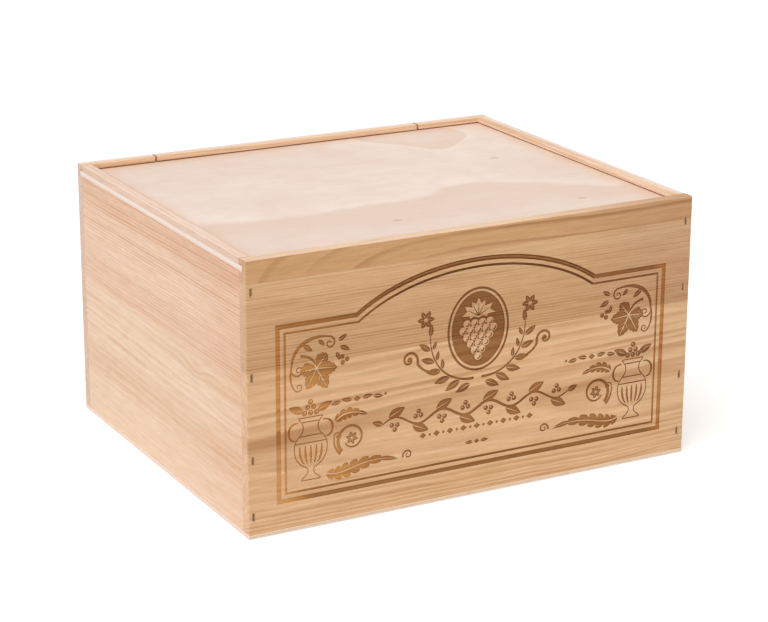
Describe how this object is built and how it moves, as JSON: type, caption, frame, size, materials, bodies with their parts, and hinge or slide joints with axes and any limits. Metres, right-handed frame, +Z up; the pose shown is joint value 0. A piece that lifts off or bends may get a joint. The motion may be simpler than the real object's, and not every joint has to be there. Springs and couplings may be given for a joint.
{
  "type": "sliding-lid wooden wine case",
  "caption": "Low wooden wine case with stapled plank walls, a thin sheet bottom and a thin lid that slides out sideways over a lowered end wall.",
  "frame": {"origin": "centre of the underside", "axes": "+X runs right along the front, away from the end where the lid comes out; -Y faces the engraved front; +Z is up"},
  "size_m": [0.34, 0.284, 0.188],
  "materials": {
    "front_top_board": "bare sawn pine, satin",
    "front_middle_board": "bare pine, satin",
    "front_bottom_board": "bare pine with a burnt engraving, satin",
    "back_upper_board": "bare pine, satin",
    "back_lower_board": "bare pine, satin",
    "left_upper_board": "bare pale pine, satin",
    "left_lower_board": "bare pale pine, satin",
    "right_upper_board": "bare pine, satin",
    "right_lower_board": "bare pine, satin",
    "bottom_sheet": "bare plywood, satin",
    "lid_sheet": "bare plywood, satin",
    "lid_pull_strip": "bare pale pine, satin",
    "front_staples": "dulled wire",
    "back_staples": "dulled wire",
    "bottom_staples": "dulled wire",
    "strip_staples": "dulled wire"
  },
  "bodies": {
    "box": {"front_top_board": "front_top_board", "front_middle_board": "front_middle_board", "front_bottom_board": "front_bottom_board", "back_upper_board": "back_upper_board", "back_lower_board": "back_lower_board", "left_upper_board": "left_upper_board", "left_lower_board": "left_lower_board", "right_upper_board": "right_upper_board", "right_lower_board": "right_lower_board", "bottom_sheet": "bottom_sheet", "front_staples": "front_staples", "back_staples": "back_staples", "bottom_staples": "bottom_staples"},
    "lid": {"lid_sheet": "lid_sheet", "lid_pull_strip": "lid_pull_strip", "strip_staples": "strip_staples"}
  },
  "joints": [
    {"name": "lid_slide", "type": "slide", "parent": "box", "child": "lid", "axis": [-1, 0, 0], "range_m": [0, 0.34]}
  ]
}
